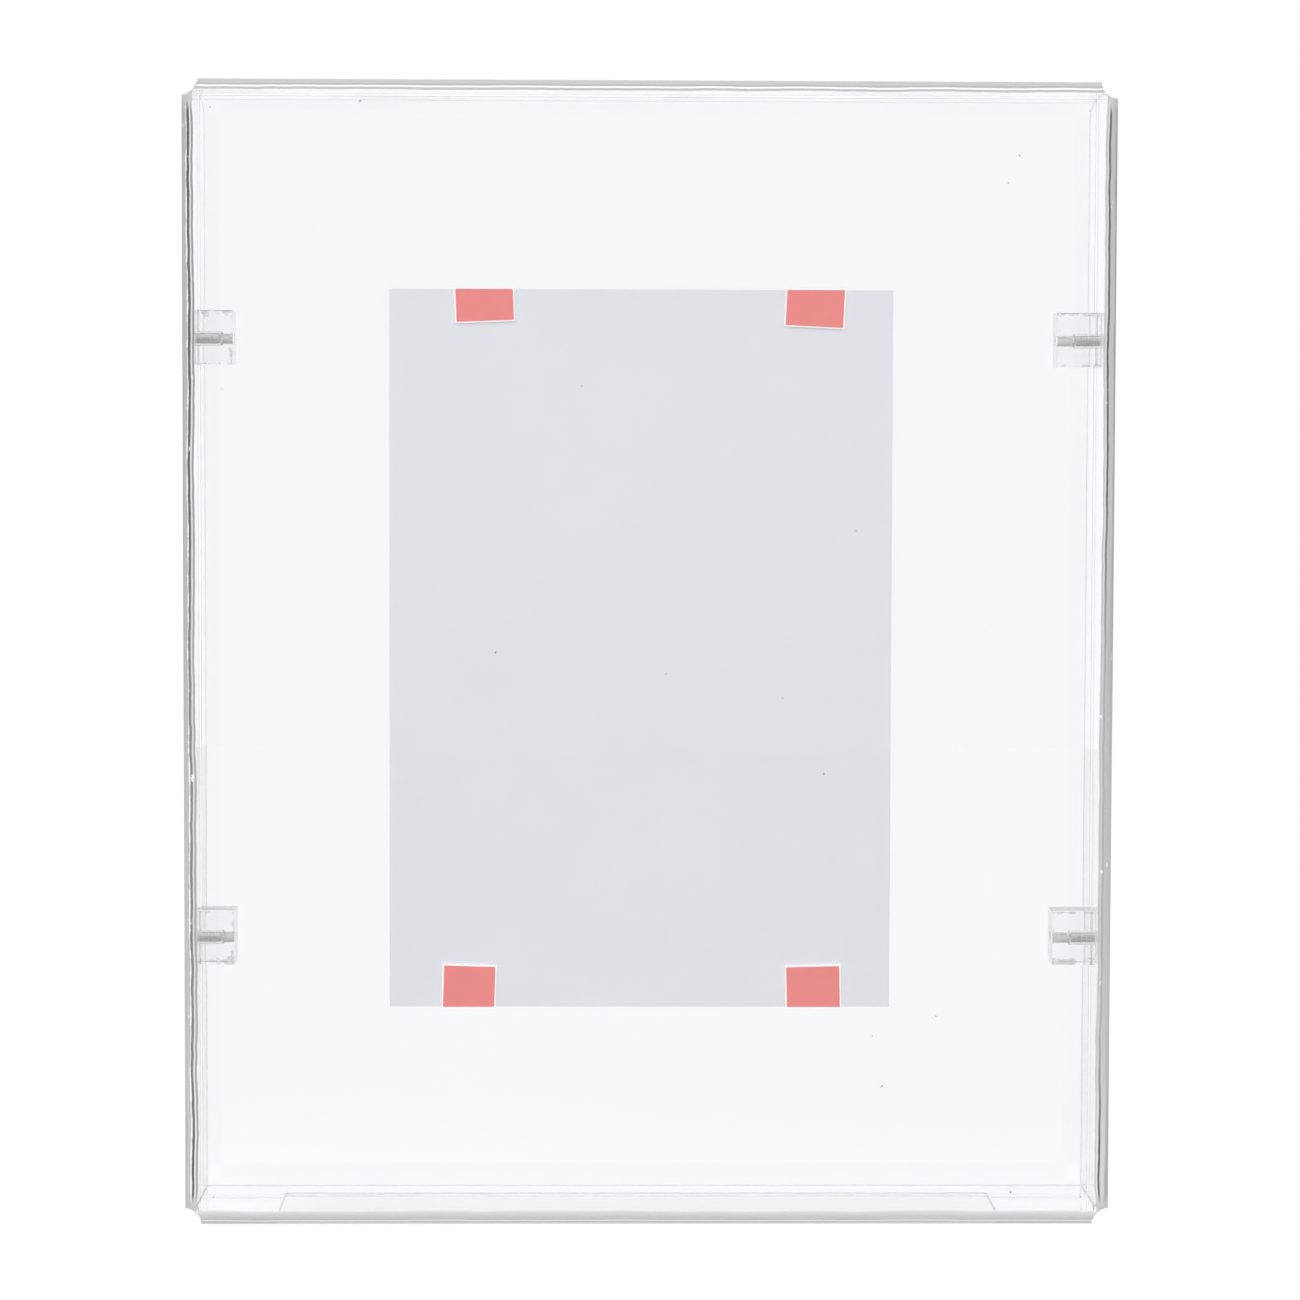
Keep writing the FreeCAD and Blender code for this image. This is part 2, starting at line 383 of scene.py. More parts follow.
def painted_side_shade(tree, x, z, from_side, from_level, wobble):
    """Colour and cover of the painted shade and highlight lines on the left and right bends."""
    drift = spread(tree, z, -0.9, 0.0, cover_low.z, cover_high.z)
    side = calc(tree, "ADD", calc(tree, "ADD", from_side, wobble), drift)
    closing = spread(tree, from_level, 1.3, 1.0, closing_from, closing_to)
    place = calc(tree, "MULTIPLY_ADD", calc(tree, "SUBTRACT", side, line_middle), closing, line_middle)
    left = line_ramp(tree, place, side_span, left_shade_lines)
    right = line_ramp(tree, place, side_span, right_shade_lines)
    on_right = calc(tree, "GREATER_THAN", x, 0.0)
    on_left = calc(tree, "LESS_THAN", x, 0.0)
    even = fixed_colour(tree, 0.36, 0.36, 0.365)
    below = spread(tree, z, 1.0, 0.0, *fade_high)
    above = spread(tree, z, 0.0, 1.0, *fade_low)
    faded = calc(tree, "MULTIPLY", calc(tree, "MINIMUM", below, above), fade_right)
    right_colour = pick(tree, faded, right.outputs["Color"], even)
    left_colour = pick(tree, calc(tree, "MULTIPLY", faded, fade_left), left.outputs["Color"], even)
    colour = pick(tree, on_right, left_colour, right_colour)
    cover = pick(tree, on_right, left.outputs["Alpha"], right.outputs["Alpha"])
    # Painted: the lines lighter towards the bottom of the cover and darker towards the top.
    lighter_below = add(tree, "ShaderNodeVectorMath", operation="SCALE")
    tree.links.new(colour, lighter_below.inputs[0])
    tree.links.new(spread(tree, z, 1.22, 0.96, cover_low.z, cover_high.z), lighter_below.inputs["Scale"])
    # Painted: lighter flecks over the lines, and the left side's bright line broken into dashes.
    fleck_noise = grain(tree, 260.0, 5.0, 0.7, (1, 1, 0.5))
    seldom = spread(tree, fleck_noise, 0.0, 0.85, 0.66, 0.70)
    from_line = calc(tree, "ABSOLUTE", calc(tree, "SUBTRACT", side, highlight_dash_place))
    in_line = calc(tree, "MULTIPLY", spread(tree, from_line, 1.0, 0.0, 0.15, 0.45), on_left)
    often = calc(tree, "MULTIPLY", spread(tree, fleck_noise, 0.0, 0.9, 0.49, 0.54), in_line)
    flecks = calc(tree, "MAXIMUM", seldom, often)
    colour = pick(tree, flecks, lighter_below.outputs["Vector"], fixed_colour(tree, *bend_shade_tint))
    # Painted: an even grey shade that caps the lines towards the corners.
    capped = spread(tree, from_level, 1.0, 0.0, cap_from, cap_to)
    cap_cover = calc(tree, "MULTIPLY", capped, calc(tree, "LESS_THAN", from_side, cap_width))
    colour = pick(tree, capped, colour, fixed_colour(tree, 0.46, 0.46, 0.47))
    return colour, calc(tree, "MAXIMUM", cover, cap_cover)


def painted_level_shade(tree, from_top, from_bottom, wobble):
    """Colour and cover of the painted shade and highlight lines on the top and bottom bends."""
    top_place = calc(tree, "MULTIPLY_ADD", wobble, level_wobble, from_top)
    bottom_place = calc(tree, "MULTIPLY_ADD", wobble, level_wobble, from_bottom)
    top = line_ramp(tree, top_place, top_span, top_shade_lines)
    bottom = line_ramp(tree, bottom_place, bottom_span, bottom_shade_lines)
    upper = calc(tree, "LESS_THAN", from_top, from_bottom)
    colour = pick(tree, upper, bottom.outputs["Color"], top.outputs["Color"])
    return colour, pick(tree, upper, bottom.outputs["Alpha"], top.outputs["Alpha"])


def painted_bend_shade(tree):
    """Colour and strength of the painted shade bands and painted highlight lines along the bent edges, on
    the outside of each bend.
    """
    x, z, from_side, from_top, from_bottom, depth = bend_places(tree)
    wobble = spread(tree, grain(tree, 30.0, 3.0, 0.6), -0.45, 0.45, 0.3, 0.7)
    from_level = calc(tree, "MINIMUM", from_top, from_bottom)
    nearest = calc(tree, "MINIMUM", from_side, from_level)
    side_colour, side_cover = painted_side_shade(tree, x, z, from_side, from_level, wobble)
    level_colour, level_cover = painted_level_shade(tree, from_top, from_bottom, wobble)
    on_level = calc(tree, "LESS_THAN", from_level, from_side)
    colour = pick(tree, on_level, side_colour, level_colour)
    cover = pick(tree, on_level, side_cover, level_cover)
    radius = bend_outer / mm
    across = calc(tree, "POWER", calc(tree, "MAXIMUM", calc(tree, "SUBTRACT", radius, nearest), 0.0), 2.0)
    inward = calc(tree, "POWER", calc(tree, "MAXIMUM", calc(tree, "SUBTRACT", radius, depth), 0.0), 2.0)
    half_way = (bend_outer - sheet / 2) / mm
    outside = calc(tree, "GREATER_THAN", calc(tree, "ADD", across, inward), half_way ** 2)
    ahead = spread(tree, depth, band_strength, 0.0, radius - band_reach, radius)
    return colour, calc(tree, "MULTIPLY", calc(tree, "MULTIPLY", cover, outside), ahead)


def over_clear(material, factor, shader):
    """Puts a second shader over a clear finish, by a value."""
    tree = material.node_tree
    output = next(node for node in tree.nodes if node.type == "OUTPUT_MATERIAL")
    surface = output.inputs["Surface"]
    clear = surface.links[0].from_socket
    tree.links.new(mix_shaders(tree, factor, clear, shader.outputs["BSDF"]), surface)
    return material


def clear_acrylic_painted_bends(name, *clear_looks):
    """Polished clear sheet whose bent edges carry painted shade bands with painted highlight lines."""
    material = clear_acrylic(name, *clear_looks)
    tree = material.node_tree
    colour, strength = painted_bend_shade(tree)
    # The painted shade and highlights, laid as a grey layer over the clear sheet at the bends.
    painted_bend_layer = add(tree, "ShaderNodeBsdfPrincipled", {"Roughness": 0.18, "IOR": acrylic_ior})
    tree.links.new(colour, painted_bend_layer.inputs["Base Color"])
    return over_clear(material, strength, painted_bend_layer)


def edged_clear_acrylic(name, *clear_looks):
    """Polished clear panel whose sawn edges are milky white with a painted glow."""
    material = clear_acrylic(name, *clear_looks)
    tree = material.node_tree
    low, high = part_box("back_panel")
    x, _, z = axes(tree)
    from_side = calc(tree, "SUBTRACT", high.x, calc(tree, "ABSOLUTE", x))
    from_level = calc(tree, "MINIMUM", calc(tree, "SUBTRACT", z, low.z), calc(tree, "SUBTRACT", high.z, z))
    at_edge = calc(tree, "LESS_THAN", calc(tree, "MINIMUM", from_side, from_level), touch / 2)
    # Painted glow and milky white on the panel's edges, which brighten them.
    milky_glowing_edge = add(
        tree, "ShaderNodeBsdfPrincipled",
        {"Roughness": 0.4, "IOR": acrylic_ior, "Transmission Weight": 0.3, "Emission Strength": 0.12},
    )
    marks = grain(tree, 900.0, 3.0, 0.6, (1, 0.15, 1))
    tone = blend_colours(tree, marks, (1.0, 1.0, 1.0), (0.95, 0.955, 0.96))
    tree.links.new(tone, milky_glowing_edge.inputs["Base Color"])
    return over_clear(material, at_edge, milky_glowing_edge)


def bonded_acrylic(name, *clear_looks):
    """Rear face of a block: clear, with irregular marks of squeezed-out cement towards its borders."""
    material = clear_acrylic(name, *clear_looks)
    tree = material.node_tree
    x, _, z = axes(tree)
    lower_left, lower_right, upper_left = (
        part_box(f"clip_block_{corner}") for corner in ("lower_left", "lower_right", "upper_left")
    )
    half_height = (lower_left[1].z - lower_left[0].z) / 2
    away = [
        calc(tree, "ABSOLUTE", calc(tree, "SUBTRACT", z, block[0].z + half_height))
        for block in (lower_left, upper_left)
    ]
    from_level = calc(tree, "SUBTRACT", half_height, calc(tree, "MINIMUM", *away))
    from_left = calc(tree, "SUBTRACT", lower_left[1].x, x)
    from_right = calc(tree, "SUBTRACT", x, lower_right[0].x)
    border = calc(tree, "MINIMUM", from_level, calc(tree, "MAXIMUM", from_left, from_right))
    blotch = grain(tree, 190.0, 4.0, 0.6, (1, 1, 1), 0.8)
    reach = spread(tree, border, 0.16, -0.22, 0.0, 5 * mm)
    mark = spread(tree, calc(tree, "ADD", blotch, reach), 0.0, 0.75, 0.56, 0.62)
    cement = add(
        tree, "ShaderNodeBsdfPrincipled",
        {"Roughness": 0.3, "IOR": acrylic_ior, "Transmission Weight": 0.35},
    )
    patches = spread(tree, grain(tree, 420.0, 3.0, 0.6), 0.0, 1.0, 0.4, 0.6)
    tone = blend_colours(tree, patches, (1.0, 1.0, 1.0), (0.62, 0.63, 0.63))
    tree.links.new(tone, cement.inputs["Base Color"])
    return over_clear(material, mark, cement)


sheet_tints = ((0.985, 0.99, 1.0), (0.965, 0.975, 0.985))
panel_tints = ((0.985, 0.99, 1.0), (0.97, 0.978, 0.988))
block_tints = ((0.99, 0.99, 0.992), (0.975, 0.977, 0.98))

cover_clear = clear_acrylic_painted_bends("cover_sheet_clear", *sheet_tints, 22.0, 0.04 * mm)
cover_cut = cut_edge_acrylic("cover_sheet_cut_edge", (0.86, 0.87, 0.87), 0.08)
cover_milled = cut_edge_acrylic("cover_sheet_milled_slot", (0.985, 0.99, 0.99), 0.12)
cover_corner = corner_cut_acrylic("cover_sheet_filed_corner")
panel_clear = edged_clear_acrylic("back_panel_clear", *panel_tints, 12.0, 0.03 * mm)
block_clear = clear_acrylic("block_polished_clear", *block_tints, 60.0, 0.03 * mm, 0.16)
block_bonded = bonded_acrylic("block_bonded_rear", *block_tints, 60.0, 0.03 * mm)
# The block ends carry a painted glow.
block_sawn = cut_edge_acrylic("block_sawn_end", (0.98, 0.98, 0.985), 0.1, 0.07)
block_bore = drilled_acrylic("block_drilled_bore")
pin_steel = ground_steel("pin_ground_steel")
card_grey = grey_card_board("card_matt_grey")
film_red = liner_film("tape_release_film")
tape_foam = foam_tape("tape_clear_foam")


# Mesh helpers

def link(name, mesh):
    """A new object at the origin that shows a mesh."""
    piece = bpy.data.objects.new(name, mesh)
    bpy.context.scene.collection.objects.link(piece)
    return piece


def mesh_from(name, bm):
    """A mesh from a bmesh, with its faces turned outwards."""
    bmesh.ops.recalc_face_normals(bm, faces=bm.faces)
    mesh = bpy.data.meshes.new(name)
    bm.to_mesh(mesh)
    bm.free()
    return mesh


def plain_copy(piece, name):
    """The evaluated piece as a plain mesh, with its modifiers taken in."""
    depsgraph = bpy.context.evaluated_depsgraph_get()
    mesh = bpy.data.meshes.new_from_object(piece.evaluated_get(depsgraph), depsgraph=depsgraph)
    mesh.name = name
    return mesh


def lathe(bm, profile, start, axis, steps):
    """A closed turned solid: (distance along, radius) pairs from a start point along the X axis."""
    rings = []
    for along, radius in profile:
        x = start.x + axis * along
        if radius < 1e-9:
            rings.append([bm.verts.new((x, start.y, start.z))])
            continue
        ring = []
        for step in range(steps):
            angle = math.tau * step / steps
            y, z = start.y + radius * math.cos(angle), start.z + radius * math.sin(angle)
            ring.append(bm.verts.new((x, y, z)))
        rings.append(ring)
    for before, after in zip(rings, rings[1:]):
        for step in range(steps):
            follow = (step + 1) % steps
            if len(before) == 1:
                bm.faces.new((before[0], after[step], after[follow]))
            elif len(after) == 1:
                bm.faces.new((before[step], after[0], before[follow]))
            else:
                bm.faces.new((before[step], after[step], after[follow], before[follow]))


def prism(bm, near_points, far_points):
    """A closed solid between two outlines of equal length."""
    near = [bm.verts.new(point) for point in near_points]
    far = [bm.verts.new(point) for point in far_points]
    bm.faces.new(near)
    bm.faces.new(far[::-1])
    for step in range(len(near)):
        follow = (step + 1) % len(near)
        bm.faces.new((near[step], near[follow], far[follow], far[step]))


def cut_away(piece, cutters):
    """Cuts closed meshes out of a piece one after another."""
    tools = []
    for number, cutter in enumerate(cutters):
        tool = link(f"{piece.name}_cutter_{number}", cutter)
        modifier = piece.modifiers.new("cut", "BOOLEAN")
        modifier.operation = "DIFFERENCE"
        modifier.solver = "EXACT"
        modifier.object = tool
        tools.append(tool)
    mesh = plain_copy(piece, piece.name)
    piece.modifiers.clear()
    piece.data = mesh
    for tool in tools:
        bpy.data.objects.remove(tool)


def smooth_round_faces(mesh, is_round, sharp_degrees=32.0):
    """Smooths the faces that a rule picks and keeps their hard borders."""
    for face in mesh.polygons:
        face.use_smooth = is_round(face)
    bm = bmesh.new()
    bm.from_mesh(mesh)
    for edge in bm.edges:
        if len(edge.link_faces) == 2 and edge.calc_face_angle(0.0) > math.radians(sharp_degrees):
            edge.smooth = False
    bm.to_mesh(mesh)
    bm.free()


# Front cover

def tray_rings(half_x, low, high, front, rear, radius, steps):
    """Corner rings of a rounded tray face from its flat front back to its rear rim."""
    rings = []
    for step in range(steps + 1):
        angle = math.pi / 2 * step / steps
        inset = radius * (1 - math.sin(angle))
        depth = front + radius * (1 - math.cos(angle))
        rings.append((inset, depth))
    rings.append((0.0, rear))
    return [
        [
            (-half_x + inset, depth, low + inset), (half_x - inset, depth, low + inset),
            (half_x - inset, depth, high - inset), (-half_x + inset, depth, high - inset),
        ]
        for inset, depth in rings
    ]


def cover_shell(arris=0.15 * mm, steps=40):
    """The bent sheet before its corners, seams and holes are cut."""
    half = cover_high.x
    low, high, front, rear = cover_low.z, cover_high.z, cover_low.y, cover_high.y
    outer = tray_rings(half, low, high, front, rear - arris, bend_outer, steps)
    inner = tray_rings(
        half - sheet, low + sheet, high - sheet, front + sheet, rear - arris, bend_inner, steps
    )

    def rim(inset):
        return [
            (-half + inset, rear, low + inset), (half - inset, rear, low + inset),
            (half - inset, rear, high - inset), (-half + inset, rear, high - inset),
        ]

    loops = outer + [rim(arris), rim(sheet - arris)] + inner[::-1]
    bm = bmesh.new()
    rings = [[bm.verts.new(point) for point in loop] for loop in loops]
    bm.faces.new(rings[0])
    bm.faces.new(rings[-1])
    for before, after in zip(rings, rings[1:]):
        for corner in range(4):
            follow = (corner + 1) % 4
            bm.faces.new((before[corner], before[follow], after[follow], after[corner]))
    return mesh_from("front_cover_shell", bm)


def corner_reliefs():
    """Round cutters at the four front corners."""
    bm = bmesh.new()
    for x in (-cover_high.x, cover_high.x):
        for z in (cover_low.z, cover_high.z):
            turn = Matrix.Rotation(math.radians(17), 4, (1, 1, 1))
            place = Matrix.Translation((x, cover_low.y, z)) @ turn
            bmesh.ops.create_uvsphere(bm, u_segments=96, v_segments=64, radius=relief_radius, matrix=place)
    return mesh_from("corner_reliefs", bm)


def corner_tapers():
    """Long slim cones along the four corner edges, which narrow the walls' ends."""
    bm = bmesh.new()
    for x in (-cover_high.x, cover_high.x):
        for z in (cover_low.z, cover_high.z):
            middle = cover_low.y + (taper_length - overrun) / 2
            place = Matrix.Translation((x, middle, z)) @ Matrix.Rotation(math.radians(-90), 4, "X")
            bmesh.ops.create_cone(
                bm, cap_ends=True, segments=97, radius1=relief_radius * (1 + overrun / taper_length),
                radius2=0.0, depth=taper_length + overrun, matrix=place,
            )
    bmesh.ops.remove_doubles(bm, verts=bm.verts, dist=1e-7)
    return mesh_from("corner_tapers", bm)


def wall_roundings(steps=24):
    """Cutters that round off the side walls' upper rear corners."""
    bm = bmesh.new()
    start = cover_low.y + wall_round_setback
    centre_z = cover_high.z - wall_round_radius
    run = cover_high.y + overrun - start
    section = []
    for step in range(steps + 1):
        along = run * step / steps
        section.append((start + along, centre_z + math.sqrt(wall_round_radius ** 2 - along ** 2)))
    section += [(start + run, cover_high.z + overrun), (start, cover_high.z + overrun)]
    for side in hands.values():
        near_x, far_x = side * (cover_high.x - sheet), side * (cover_high.x + overrun)
        prism(bm, [(near_x, y, z) for y, z in section], [(far_x, y, z) for y, z in section])
    return mesh_from("wall_roundings", bm)


def corner_seams():
    """Thin slits between neighbouring walls, from the bend to the rear."""
    bm = bmesh.new()
    reach = sheet * 3
    for side in hands.values():
        for up, height in ((-1, cover_low.z), (1, cover_high.z)):
            inward = Vector((-side, 0, -up)).normalized()
            across = Vector((up, 0, -side)).normalized() * (seam_gap / 2)
            start = Vector((side * cover_high.x, cover_low.y + bend_outer, height)) - inward * overrun
            back = Vector((0, cover_high.y + overrun - start.y, 0))
            end = start + inward * reach
            section = [start + across, start - across, end - across, end + across]
            prism(bm, section, [point + back for point in section])
    return mesh_from("corner_seams", bm)


def cover_holes():
    """The four pin holes and the long slot in the bottom wall."""
    bm = bmesh.new()
    through = sheet + overrun
    for side in hands.values():
        for height in levels.values():
            start = Vector((side * (cover_high.x - sheet - touch), pin_y, height))
            lathe(bm, [(0, 0), (0, bore_radius), (through, bore_radius), (through, 0)], start, side, 64)
    outline = []
    corner_steps = 12
    for cx, cy, turn in (
        (slot_x[1] - slot_corner, slot_y[1] - slot_corner, 0),
        (slot_x[0] + slot_corner, slot_y[1] - slot_corner, 1),
        (slot_x[0] + slot_corner, slot_y[0] + slot_corner, 2),
        (slot_x[1] - slot_corner, slot_y[0] + slot_corner, 3),
    ):
        for step in range(corner_steps + 1):
            angle = math.pi / 2 * (turn + step / corner_steps)
            outline.append((cx + slot_corner * math.cos(angle), cy + slot_corner * math.sin(angle)))
    prism(bm, [(x, y, -overrun) for x, y in outline], [(x, y, sheet + overrun) for x, y in outline])
    return mesh_from("cover_holes", bm)


def make_cover():
    """The cover with cut reliefs, open seams, pin holes and slot."""
    piece = link("front_cover_sheet", cover_shell())
    cut_away(piece, [corner_reliefs(), corner_tapers(), wall_roundings(), corner_seams(), cover_holes()])
    mesh = piece.data
    mesh.materials.clear()
    for finish in (cover_clear, cover_cut, cover_corner, cover_milled):
        mesh.materials.append(finish)
    half, low, high, front, rear = cover_high.x, cover_low.z, cover_high.z, cover_low.y, cover_high.y

    def corner_of(centre):
        return Vector((math.copysign(half, centre.x), front, low if centre.z < (low + high) / 2 else high))

    def at_corner(face):
        away = face.center - corner_of(face.center)
        taper = relief_radius * (1 - away.y / taper_length)
        return abs(away.length - relief_radius) < touch or abs(math.hypot(away.x, away.z) - taper) < touch

    def within_sheet(depth):
        return sheet * 0.02 < depth < sheet * 0.98

    def in_slot(face):
        centre = face.center
        if abs(face.normal.z) > 0.1 or not within_sheet(centre.z):
            return False
        return abs(centre.x) < half - sheet and slot_y[0] - touch / 10 < centre.y < slot_y[1] + touch / 10

    def is_cut(face):
        centre, normal = face.center, face.normal
        if centre.y > rear - 3 * touch:
            return True
        if within_sheet(half - abs(centre.x)) and centre.z > high - wall_round_radius and normal.z > 0.5:
            return True
        to_middle = -1 if centre.z > (low + high) / 2 else 1
        inward = Vector((-math.copysign(1, centre.x), 0, to_middle)).normalized()
        across = inward.cross(Vector((0, 1, 0)))
        return abs(normal.y) < 0.05 and abs(abs(normal.dot(across)) - 1) < 0.01

    def is_bent(face):
        flat = max(abs(face.normal.x), abs(face.normal.y), abs(face.normal.z)) > 0.9999
        return not flat and face.center.y < front + relief_radius + 2 * touch

    for face in mesh.polygons:
        face.material_index = 2 if at_corner(face) else 3 if in_slot(face) else 1 if is_cut(face) else 0
    smooth_round_faces(mesh, is_bent)
    return piece


cover = make_cover()
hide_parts("front_cover")
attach(cover, "frame")


# Blocks and pins

def rounded_box(bm, low, high, arris):
    """A box whose edges carry a small arris."""
    made = bmesh.ops.create_cube(bm, size=1.0)
    size = high - low
    for vertex in made["verts"]:
        vertex.co = low + Vector([(place + 0.5) * span for place, span in zip(vertex.co, size)])
    edges = list({edge for vertex in made["verts"] for edge in vertex.link_edges})
    bmesh.ops.bevel(bm, geom=edges, offset=arris, segments=2, profile=0.5, affect="EDGES")


def make_block(corner, side, height):
    """A clear block with its stepped bore."""
    low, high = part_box(f"clip_block_{corner}")
    bm = bmesh.new()
    rounded_box(bm, low, high, 0.25 * mm)
    piece = link(f"clip_block_{corner}_body", mesh_from("block_body", bm))
    inner_x = min(abs(low.x), abs(high.x))
    outer_x = max(abs(low.x), abs(high.x))
    cutter = bmesh.new()
    start = Vector((side * (outer_x + overrun), pin_y, height))
    wide = outer_x + overrun - bore_end
    through = outer_x - inner_x + 2 * overrun
    profile = [
        (0, 0), (0, bore_radius), (wide, bore_radius), (wide + bore_shoulder, pilot_radius),
        (through, pilot_radius), (through, 0),
    ]
    lathe(cutter, profile, start, -side, 96)
    cut_away(piece, [mesh_from("block_bore", cutter)])
    mesh = piece.data
    mesh.materials.clear()
    for finish in (block_clear, block_bore, block_sawn, block_bonded):
        mesh.materials.append(finish)

    def in_bore(face):
        away = math.hypot(face.center.y - pin_y, face.center.z - height)
        return away < bore_radius * 1.01 and abs(face.normal.x) < 0.9

    def in_pilot(face):
        return in_bore(face) and abs(face.center.x) < bore_end + touch

    def at_end(face):
        return abs(face.normal.x) > 0.9 and not bore_end - 1 * mm < abs(face.center.x) < bore_end + 2 * mm

    def at_bond(face):
        return face.normal.y > 0.9 and not in_bore(face)

    for face in mesh.polygons:
        face.material_index = 1 if in_pilot(face) else 2 if at_end(face) else 3 if at_bond(face) else 0
    smooth_round_faces(mesh, in_bore)
    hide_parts(f"clip_block_{corner}")
    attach(piece, "frame")


def make_pin(corner, side, height):
    """A ground pin with rounded chamfers at both ends."""
    low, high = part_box(f"locking_pin_{corner}")
    length = high.x - low.x
    soft = 0.12 * mm
    half_profile = [
        (0, 0), (0, pin_radius - pin_chamfer - soft), (soft * 0.35, pin_radius - pin_chamfer),
        (pin_chamfer - soft * 0.5, pin_radius - soft * 0.5), (pin_chamfer + soft * 0.5, pin_radius),
    ]
    profile = half_profile + [(length - along, radius) for along, radius in half_profile[::-1]]
    bm = bmesh.new()
    inner_x = min(abs(low.x), abs(high.x))
    lathe(bm, profile, Vector((side * inner_x, pin_y, height)), side, 96)
    piece = link(f"locking_pin_{corner}_body", mesh_from("pin_body", bm))
    piece.data.materials.append(pin_steel)
    smooth_round_faces(piece.data, lambda face: True, 25.0)
    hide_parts(f"locking_pin_{corner}")
    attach(piece, f"pin_{corner}")


for level, height in levels.items():
    for hand, side in hands.items():
        make_block(f"{level}_{hand}", side, height)
        make_pin(f"{level}_{hand}", side, height)


# CAD nodes that keep their shape

def finish_node(name, material):
    """Gives a carried-over node its finish."""
    for slot in nodes[name].material_slots:
        slot.link = "OBJECT"
        slot.material = material


finish_node("back_panel", panel_clear)
finish_node("carrier_card", card_grey)
for level in levels:
    for hand in hands:
        finish_node(f"tape_pad_{level}_{hand}", tape_foam)
        finish_node(f"tape_liner_{level}_{hand}", film_red)


# Dust on the cover

# Specks that can be told apart, in mm across and up
dust_places = [
    (-27.6, 344.1), (-57.7, 246.3), (-62.6, 235.7), (6.9, 227.1), (54.5, 217.3),
    (71.5, 186.2), (84.1, 285.6), (-117.5, 458.7), (-173.6, 342.5), (149.6, 437.8),
    (145.1, 426.8), (91.9, 78.6), (95.9, 57.7), (117.9, 86.7), (149.2, 13.9),
]
dust_settings = {"Speck Size": 0.42 * mm, "Strewn Size": 0.10 * mm, "Strewn Density": 700.0}


def dust_tree(material):
    """Specks: flat grains on given places, and smaller ones strewn over a sheet."""
    tree = bpy.data.node_groups.new("dust_on_sheet", "GeometryNodeTree")
    face = tree.interface
    face.new_socket("Geometry", in_out="INPUT", socket_type="NodeSocketGeometry")
    for label, value in dust_settings.items():
        face.new_socket(label, in_out="INPUT", socket_type="NodeSocketFloat").default_value = value
    face.new_socket("Geometry", in_out="OUTPUT", socket_type="NodeSocketGeometry")
    start = tree.nodes.new("NodeGroupInput")
    end = tree.nodes.new("NodeGroupOutput")
    speck = tree.nodes.new("GeometryNodeMeshIcoSphere")
    speck.inputs["Radius"].default_value = 1.0
    speck.inputs["Subdivisions"].default_value = 2
    strewn = tree.nodes.new("GeometryNodeDistributePointsOnFaces")
    strewn.inputs["Seed"].default_value = 7
    tree.links.new(start.outputs["Geometry"], strewn.inputs["Mesh"])
    tree.links.new(start.outputs["Strewn Density"], strewn.inputs["Density"])
    given = tree.nodes.new("GeometryNodeMeshToPoints")
    tree.links.new(start.outputs["Geometry"], given.inputs["Mesh"])
    join = tree.nodes.new("GeometryNodeJoinGeometry")
    kinds = ((given, "Speck Size", 3, 1.7), (strewn, "Strewn Size", 11, 1.3))
    for points, size_name, seed, stretch in kinds:
        place = tree.nodes.new("GeometryNodeInstanceOnPoints")
        turn = tree.nodes.new("FunctionNodeRandomValue")
        turn.data_type = "FLOAT"
        turn.inputs["Max"].default_value = math.tau
        turn.inputs["Seed"].default_value = seed
        around = tree.nodes.new("ShaderNodeCombineXYZ")
        tree.links.new(turn.outputs[1], around.inputs["Y"])
        vary = tree.nodes.new("FunctionNodeRandomValue")
        vary.data_type = "FLOAT_VECTOR"
        vary.inputs["Min"].default_value = (0.5, 0.06, 0.4)
        vary.inputs["Max"].default_value = (stretch, 0.12, 0.9)
        vary.inputs["Seed"].default_value = seed + 1
        size = tree.nodes.new("ShaderNodeVectorMath")
        size.operation = "SCALE"
        tree.links.new(vary.outputs[0], size.inputs[0])
        tree.links.new(start.outputs[size_name], size.inputs["Scale"])
        tree.links.new(points.outputs["Points"], place.inputs["Points"])
        tree.links.new(speck.outputs["Mesh"], place.inputs["Instance"])
        tree.links.new(around.outputs["Vector"], place.inputs["Rotation"])
        tree.links.new(size.outputs["Vector"], place.inputs["Scale"])
        tree.links.new(place.outputs["Instances"], join.inputs["Geometry"])
    real = tree.nodes.new("GeometryNodeRealizeInstances")
    finish = tree.nodes.new("GeometryNodeSetMaterial")
    finish.inputs["Material"].default_value = material
    tree.links.new(join.outputs["Geometry"], real.inputs["Geometry"])
    tree.links.new(real.outputs["Geometry"], finish.inputs["Geometry"])
    tree.links.new(finish.outputs["Geometry"], end.inputs["Geometry"])
    return tree


def dust_finish():
    """Soft grey lint."""
    material, tree, output = new_material("dust_grey_lint")
    shader = add(tree, "ShaderNodeBsdfPrincipled", {"Roughness": 0.9, "Specular IOR Level": 0.1})
    tone = blend_colours(tree, grain(tree, 5000.0, 2.0), (0.40, 0.40, 0.41), (0.24, 0.24, 0.25))
    tree.links.new(tone, shader.inputs["Base Color"])
    tree.links.new(shader.outputs["BSDF"], output.inputs["Surface"])
    return material


